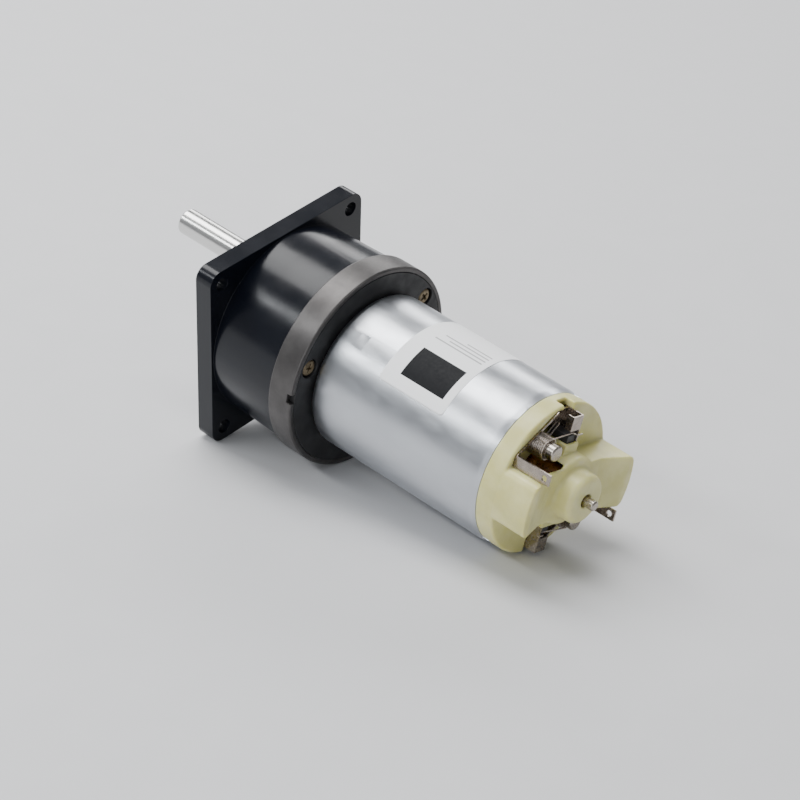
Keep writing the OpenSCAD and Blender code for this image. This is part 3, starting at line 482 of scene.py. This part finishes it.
# Each finish and the nodes that have it
FINISHES = [
    (cast_lacquer(), ["gearbox_housing"]),
    (band_steel(), ["cover_band"]),
    (black_oxide(), ["rear_plate"]),
    (zinc_plate(), ["motor_can"]),
    (turned_steel("ground_steel", colour=(0.66, 0.655, 0.64), roughness=0.2),
     ["output_shaft", "idler_pin_a", "idler_pin_b", "first_pinion", "second_pinion"]),
    (post_metal(), ["motor_shaft", "upper_spring_post", "lower_spring_post"]),
    (turned_steel("plain_steel", colour=(0.5, 0.49, 0.48), roughness=0.32),
     ["motor_screws", "idler_washer", "thrust_washer", "magnet_clips"]),
    (nickel_sheet(), ["upper_brush_holder", "lower_brush_holder"]),
    (spring_wire(), ["upper_brush_spring", "lower_brush_spring"]),
    (dull_brass(), ["gearbox_screws"]),
    (yellow_brass(), ["idler_spacer", "output_wheel", "first_wheel", "second_wheel", "motor_pinion"]),
    (oiled_bronze(), ["output_bush", "output_rear_bush", "front_bearing", "rear_bearing"]),
    (enamelled_copper(), ["windings"]),
    (bare_copper(), ["commutator"]),
    (dark_ferrite(), ["magnets"]),
    (laminated_iron(), ["armature_core"]),
    (pressed_carbon(), ["upper_brush", "lower_brush"]),
    (red_fibre(), ["rotor_spacers"]),
    (cream_nylon(), ["end_cap"]),
    (label_paper(), ["label"]),
]
FINISH_OF = {node: material for material, nodes in FINISHES for node in nodes}


def paint_solids():
    for node, material in FINISH_OF.items():
        slots = NODES[node].data.materials
        slots.clear()
        slots.append(material)


# Pieces that take the place of a solid

def link(name, mesh):
    piece = bpy.data.objects.new(name, mesh)
    bpy.context.scene.collection.objects.link(piece)
    return piece


def stand_for(piece, node):
    """Puts the piece in the place of a solid, on the body that carries it."""
    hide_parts(node)
    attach(piece, NODES[node]["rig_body"])


def merged_mesh(node):
    """A copy of a solid's mesh with its loose triangles joined and its flat faces made whole."""
    mesh = NODES[node].data.copy()
    form = bmesh.new()
    form.from_mesh(mesh)
    bmesh.ops.remove_doubles(form, verts=form.verts, dist=SAME_POINT * MM)
    bmesh.ops.dissolve_limit(form, angle_limit=SAME_PLANE, verts=form.verts, edges=form.edges)
    for face in form.faces:
        face.smooth = True
    form.to_mesh(mesh)
    form.free()
    mesh.materials.clear()
    mesh.materials.append(FINISH_OF[node])
    return mesh


def plain_mesh(piece, node):
    """The shape that the modifiers give, as the mesh of the node's dressed piece, with the piece gone."""
    bpy.context.view_layer.update()
    shape = piece.evaluated_get(bpy.context.evaluated_depsgraph_get())
    mesh = bpy.data.meshes.new_from_object(shape)
    mesh.name = "dressed_" + node
    mesh.materials.clear()
    mesh.materials.append(FINISH_OF[node])
    old = piece.data
    bpy.data.objects.remove(piece)
    bpy.data.meshes.remove(old)
    return mesh


def dress(node, mesh):
    stand_for(link("dressed_" + node, mesh), node)


def rounded_copy(node, round_mm):
    """A copy of a solid whose sharp edges are rounded over."""
    piece = link("rounding_" + node, merged_mesh(node))
    bevel = piece.modifiers.new("rounding", "BEVEL")
    bevel.width = round_mm * MM
    bevel.segments = ROUNDING_STEPS
    bevel.limit_method = "ANGLE"
    bevel.angle_limit = SHARP_ANGLE
    bevel.miter_outer = "MITER_ARC"
    bevel.use_clamp_overlap = True
    shading = piece.modifiers.new("shading", "WEIGHTED_NORMAL")
    shading.mode = "FACE_AREA"
    shading.weight = LARGE_FACE_WEIGHT
    dress(node, plain_mesh(piece, node))


def bridge_block(name, turn):
    """Block that opens one wall of the bridge beside its brush, as the commutator is seen through there."""
    spin = Matrix.Rotation(BRIDGE_ANGLE + turn, 3, "X")
    form = bmesh.new()
    corners = {}
    for i, x in enumerate(WINDOW_X):
        for j, along in enumerate(WINDOW_ALONG):
            for k, across in enumerate(WINDOW_ACROSS):
                corners[i, j, k] = form.verts.new(spin @ Vector((x, along, across)) * MM)
    for axis in range(3):
        for side in (0, 1):
            loop = []
            for u, v in ((0, 0), (0, 1), (1, 1), (1, 0)):
                place = [u, v]
                place.insert(axis, side)
                loop.append(corners[tuple(place)])
            form.faces.new(loop)
    bmesh.ops.recalc_face_normals(form, faces=form.faces)
    mesh = bpy.data.meshes.new(name)
    form.to_mesh(mesh)
    form.free()
    return link(name, mesh)


def moulded_cap():
    """The end cap with its bridge windows and the soft, blended edges of a nylon moulding."""
    piece = link("cap_moulding", merged_mesh("end_cap"))
    blocks = [bridge_block("upper_window", 0), bridge_block("lower_window", math.pi)]
    for block in blocks:
        window = piece.modifiers.new(block.name, "BOOLEAN")
        window.operation = "DIFFERENCE"
        window.solver = "EXACT"
        window.object = block
    grid = piece.modifiers.new("grid", "REMESH")
    grid.mode = "VOXEL"
    grid.voxel_size = CAP_GRID * MM
    grid.use_smooth_shade = True
    soften = piece.modifiers.new("soften", "SMOOTH")
    soften.factor = CAP_SOFTENING
    soften.iterations = CAP_SOFTENING_ROUNDS
    thin = piece.modifiers.new("thin", "DECIMATE")
    thin.ratio = CAP_KEPT
    mesh = plain_mesh(piece, "end_cap")
    for block in blocks:
        bpy.data.meshes.remove(block.data)
    for face in mesh.polygons:
        face.use_smooth = True
    dress("end_cap", mesh)


# Trees that sweep and repeat the wires

def new_tree(name, inputs):
    """A geometry tree that takes a path and the named inputs and gives wire."""
    tree = bpy.data.node_groups.new(name, "GeometryNodeTree")
    tree.interface.new_socket("Path", in_out="INPUT", socket_type="NodeSocketGeometry")
    for label, kind in inputs:
        tree.interface.new_socket(label, in_out="INPUT", socket_type="NodeSocket" + kind)
    tree.interface.new_socket("Wire", in_out="OUTPUT", socket_type="NodeSocketGeometry")
    return tree, tree.nodes.new("NodeGroupInput"), tree.nodes.new("NodeGroupOutput")


def swept_wire(tree, given):
    """Adds the nodes that turn the path's edges into round wire and returns the last socket."""
    curve = tree.nodes.new("GeometryNodeMeshToCurve")
    section = tree.nodes.new("GeometryNodeCurvePrimitiveCircle")
    sweep = tree.nodes.new("GeometryNodeCurveToMesh")
    smooth = tree.nodes.new("GeometryNodeSetShadeSmooth")
    sweep.inputs["Fill Caps"].default_value = True
    tree.links.new(given.outputs["Path"], curve.inputs["Mesh"])
    tree.links.new(given.outputs["Wire radius"], section.inputs["Radius"])
    tree.links.new(given.outputs["Wire sides"], section.inputs["Resolution"])
    tree.links.new(curve.outputs["Curve"], sweep.inputs["Curve"])
    tree.links.new(section.outputs["Curve"], sweep.inputs["Profile Curve"])
    tree.links.new(sweep.outputs["Mesh"], smooth.inputs["Geometry"])
    return smooth.outputs["Geometry"]


def close_tree(tree, given, result, shape):
    """Ends a tree in plain geometry with its finish on it."""
    realize = tree.nodes.new("GeometryNodeRealizeInstances")
    coat = tree.nodes.new("GeometryNodeSetMaterial")
    tree.links.new(shape, realize.inputs["Geometry"])
    tree.links.new(realize.outputs["Geometry"], coat.inputs["Geometry"])
    tree.links.new(given.outputs["Finish"], coat.inputs["Material"])
    tree.links.new(coat.outputs["Geometry"], result.inputs["Wire"])


def bent_wire_tree():
    """Round wire along one path."""
    tree, given, result = new_tree("bent_wire", [
        ("Wire radius", "Float"), ("Wire sides", "Int"), ("Finish", "Material")])
    close_tree(tree, given, result, swept_wire(tree, given))
    return tree


def wound_poles_tree():
    """The turns of one pole swept as wire and repeated round the armature."""
    tree, given, result = new_tree("wound_poles", [
        ("Poles", "Int"), ("Wire radius", "Float"), ("Wire sides", "Int"), ("Finish", "Material")])
    spots = tree.nodes.new("GeometryNodeMeshLine")
    spots.inputs["Offset"].default_value = (0, 0, 0)
    tree.links.new(given.outputs["Poles"], spots.inputs["Count"])
    index = tree.nodes.new("GeometryNodeInputIndex")
    step = maths(tree, "DIVIDE", math.tau, given.outputs["Poles"])
    turn = tree.nodes.new("ShaderNodeCombineXYZ")
    tree.links.new(maths(tree, "MULTIPLY", index.outputs["Index"], step), turn.inputs["X"])
    poles = tree.nodes.new("GeometryNodeInstanceOnPoints")
    tree.links.new(spots.outputs["Mesh"], poles.inputs["Points"])
    tree.links.new(swept_wire(tree, given), poles.inputs["Instance"])
    tree.links.new(turn.outputs["Vector"], poles.inputs["Rotation"])
    close_tree(tree, given, result, poles.outputs["Instances"])
    return tree


def grow(piece, tree, values):
    """Puts a tree on a piece, with its inputs set by their sockets' identifiers."""
    modifier = piece.modifiers.new(tree.name, "NODES")
    modifier.node_group = tree
    for item in tree.interface.items_tree:
        if item.item_type == "SOCKET" and item.in_out == "INPUT" and item.name in values:
            modifier[item.identifier] = values[item.name]


def wire_path(name, paths, closed=False):
    """A piece with a line through each list of points, given in millimetres."""
    points = []
    lines = []
    for path in paths:
        first = len(points)
        points += [Vector(point) * MM for point in path]
        lines += [(i, i + 1) for i in range(first, len(points) - 1)]
        if closed:
            lines.append((len(points) - 1, first))
    mesh = bpy.data.meshes.new(name)
    mesh.from_pydata(points, lines, [])
    return link(name, mesh)


def on_circle(radius, angle):
    return Vector((radius * math.cos(angle), radius * math.sin(angle)))


# Brush springs

def hairpin_points():
    """Wire that comes from the holder, turns back in a half circle and runs to the coil."""
    way = Vector((-math.sin(ANCHOR_TURN), math.cos(ANCHOR_TURN)))
    start = SPRING_AT + on_circle(COIL_RADIUS, ANCHOR_TURN)
    bend = start - ANCHOR_REACH * way
    half = (COIL_X - ANCHOR_X) / 2
    points = [(ANCHOR_X, *(start - ANCHOR_RETURN * way))]
    for i in range(HAIRPIN_STEPS + 1):
        t = math.pi * i / HAIRPIN_STEPS
        points.append((ANCHOR_X + half * (1 - math.cos(t)), *(bend + half * (1 - math.sin(t)) * way)))
    return points


def coil_points():
    """The coil, up to where the wire leaves it straight for the brush."""
    away = LEG_TO - SPRING_AT
    leave = math.atan2(away.y, away.x) - math.acos(COIL_RADIUS / away.length)
    sweep = math.tau * COIL_TURNS + leave - ANCHOR_TURN
    count = round(COIL_STEPS * sweep / math.tau)
    points = []
    for i in range(count + 1):
        t = sweep * i / count
        points.append((COIL_X - COIL_LEAD * t / math.tau,
                       *(SPRING_AT + on_circle(COIL_RADIUS, ANCHOR_TURN + t))))
    return points


def spring_points():
    """Middle of a brush spring's wire: the hairpin, the coil, the leg to the brush and the hook."""
    points = hairpin_points() + coil_points()
    leg = Vector(points[-1])
    end = Vector((LEG_X, *LEG_TO))
    points += [leg.lerp(end, share) for share in LEG_SHARES]
    points += [end + Vector(step) for step in HOOK_STEPS]
    return points


def brush_springs():
    """Both springs; the lower one is the upper one turned half round the motor's axis."""
    tree = bent_wire_tree()
    for node, turn in (("upper_brush_spring", 0), ("lower_brush_spring", math.pi)):
        spin = Matrix.Rotation(BRIDGE_ANGLE + turn, 3, "X")
        path = wire_path(node + "_path", [[spin @ Vector(point) for point in spring_points()]])
        grow(path, tree, {"Wire radius": SPRING_WIRE / 2 * MM, "Wire sides": SPRING_SIDES,
                          "Finish": FINISH_OF[node]})
        dress(node, plain_mesh(path, node))


# Armature winding

def squared(value, roundness):
    """A sine or cosine pushed towards one, which makes a circle squarer as the roundness falls."""
    return math.copysign(abs(value) ** roundness, value)


def pole_turns(core_middle, core_half):
    """Every turn of one pole as a closed loop round the tooth that stands along +Y."""
    loops = []
    for ring in range(int((TURNS_OUT - TURNS_IN) / TURNS_PITCH) + 1):
        lift = TURNS_IN + TURNS_PITCH * ring
        to_neighbour = math.pi * lift / POLES - SLOT_GAP
        to_tip = math.sqrt((TURNS_OUT + TIP_ROOM) ** 2 - lift ** 2)
        for layer in range(TURNS_LAYERS):
            side = POLE_NECK / 2 + NECK_GAP + TURNS_PITCH * layer
            if side + TURNS_WIRE / 2 > min(to_neighbour, to_tip):
                break
            end = core_half + END_GAP + END_STEP * layer
            loop = []
            for i in range(TURN_POINTS):
                t = math.tau * (i + 0.5) / TURN_POINTS
                along = squared(math.cos(t), END_ROUNDNESS) * end
                aside = squared(math.sin(t), SIDE_ROUNDNESS) * side
                loop.append((core_middle + along, lift, aside))
            loops.append(loop)
    return loops


def wound_armature():
    """Coils of single wires on every pole of the core."""
    low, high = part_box("armature_core")
    middle = (low.x + high.x) / 2 / MM
    half = (high.x - low.x) / 2 / MM
    coil = wire_path("pole_turns", pole_turns(middle, half), closed=True)
    grow(coil, wound_poles_tree(), {"Poles": POLES, "Wire radius": TURNS_WIRE / 2 * MM,
                                    "Wire sides": TURNS_SIDES, "Finish": FINISH_OF["windings"]})
    dress("windings", plain_mesh(coil, "windings"))


# Label

def label_columns(length):
    """Places along the label, close together at the rounded corners."""
    bend = [LABEL_ROUND * (1 - math.cos(math.pi / 2 * i / CORNER_STEPS)) for i in range(CORNER_STEPS)]
    flat = [LABEL_ROUND + (length - 2 * LABEL_ROUND) * i / LABEL_COLUMNS for i in range(LABEL_COLUMNS + 1)]
    return bend + flat + [length - x for x in reversed(bend)]


def label_grid(form, start_x, length):
    """The label's points in columns across the can, drawn in at the rounded corners."""
    radius = CAN_RADIUS + LABEL_LIFT
    grid = []
    for x in label_columns(length):
        edge = min(x, length - x)
        drawn = LABEL_ROUND - math.sqrt(LABEL_ROUND ** 2 - max(0.0, LABEL_ROUND - edge) ** 2)
        inset = drawn / radius
        column = []
        for j in range(LABEL_ROWS + 1):
            angle = LABEL_FROM + inset + (LABEL_TO - LABEL_FROM - 2 * inset) * j / LABEL_ROWS
            place = Vector((start_x + x, radius * math.cos(angle), radius * math.sin(angle)))
            column.append(form.verts.new(place * MM))
        grid.append(column)
    return grid


def label_sheet():
    """The label as a thin curved sheet with rounded corners."""
    low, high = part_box("label")
    form = bmesh.new()
    grid = label_grid(form, low.x / MM, (high.x - low.x) / MM)
    for near, far in zip(grid, grid[1:]):
        for j in range(LABEL_ROWS):
            face = form.faces.new((near[j], near[j + 1], far[j + 1], far[j]))
            face.smooth = True
    mesh = bpy.data.meshes.new("dressed_label")
    form.to_mesh(mesh)
    form.free()
    mesh.materials.append(FINISH_OF["label"])
    piece = link("dressed_label", mesh)
    sheet = piece.modifiers.new("sheet", "SOLIDIFY")
    sheet.thickness = LABEL_LIFT * MM
    sheet.offset = -1
    stand_for(piece, "label")


# Scene around the motor

def camera_matrix():
    ahead = (CAMERA_TARGET - CAMERA_PLACE).normalized()
    level = ahead.cross(Vector((0, 0, 1))).normalized()
    above = level.cross(ahead)
    right = level * math.cos(CAMERA_ROLL) + above * math.sin(CAMERA_ROLL)
    up = above * math.cos(CAMERA_ROLL) - level * math.sin(CAMERA_ROLL)
    turn = Matrix((right, up, -ahead)).transposed().to_4x4()
    return Matrix.Translation(CAMERA_PLACE) @ turn


def make_camera():
    data = bpy.data.cameras.new("photo_camera")
    data.lens = CAMERA_LENS
    data.sensor_width = CAMERA_SENSOR
    data.shift_y = CAMERA_SHIFT
    data.clip_start = CAMERA_NEAR
    camera = bpy.data.objects.new("photo_camera", data)
    camera.matrix_world = camera_matrix()
    bpy.context.scene.collection.objects.link(camera)
    bpy.context.scene.camera = camera


def make_floor():
    """A pale plane just touching the lowest points of the motor along its own normal."""
    turn = Matrix.Rotation(FLOOR_ROLL, 4, "X") @ Matrix.Rotation(FLOOR_SLOPE, 4, "Y")
    normal = turn @ Vector((0, 0, 1))
    lowest = min(v.co @ normal for node in NODES.values() for v in node.data.vertices)
    half = FLOOR_SIZE / 2
    corners = [turn @ Vector((x, y, 0)) + normal * lowest
               for x, y in ((-half, -half), (half, -half), (half, half), (-half, half))]
    mesh = bpy.data.meshes.new("floor")
    mesh.from_pydata(corners, [], [(0, 1, 2, 3)])
    card = finish("floor_card", colour=(0.62, 0.62, 0.63), metallic=0.0, roughness=0.6)
    vary_roughness(card, size_mm=12, low=0.55, high=0.7)
    mesh.materials.append(card)
    link("floor", mesh)


def area_light(name, place, size, power, colour=WHITE_LIGHT):
    """A soft panel that faces the motor, with its first side along the motor."""
    data = bpy.data.lights.new(name, "AREA")
    data.shape = "RECTANGLE"
    data.size, data.size_y = size
    data.energy = power
    data.color = colour
    light = bpy.data.objects.new(name, data)
    back = (Vector(place) - MOTOR_MIDDLE).normalized()
    long = (Vector((1, 0, 0)) - back * back.x).normalized()
    turn = Matrix((long, back.cross(long), back)).transposed().to_4x4()
    light.matrix_world = Matrix.Translation(place) @ turn
    bpy.context.scene.collection.objects.link(light)


def make_lights():
    """A soft sky and four panels, placed where the photograph's highlights lie."""
    world = bpy.data.worlds.new("studio")
    world.use_nodes = True
    sky = world.node_tree.nodes["Background"]
    sky.inputs["Color"].default_value = SKY_COLOUR
    sky.inputs["Strength"].default_value = SKY_STRENGTH
    bpy.context.scene.world = world
    area_light("overhead", place=(0.38, -0.13, 0.68), size=(0.9, 0.4), power=9.5)
    area_light("side_strip", place=(0.42, 0.47, 0.61), size=(1.3, 0.1), power=5, colour=COOL_LIGHT)
    area_light("window", place=(-0.30, 0.75, 0.35), size=(0.35, 0.5), power=2.2, colour=WINDOW_LIGHT)
    area_light("back_strip", place=(0.45, -0.75, 0.25), size=(0.9, 0.25), power=4)


make_camera()
paint_solids()
for node, size in EDGE_ROUNDING.items():
    rounded_copy(node, size)
moulded_cap()
brush_springs()
wound_armature()
label_sheet()
make_floor()
make_lights()
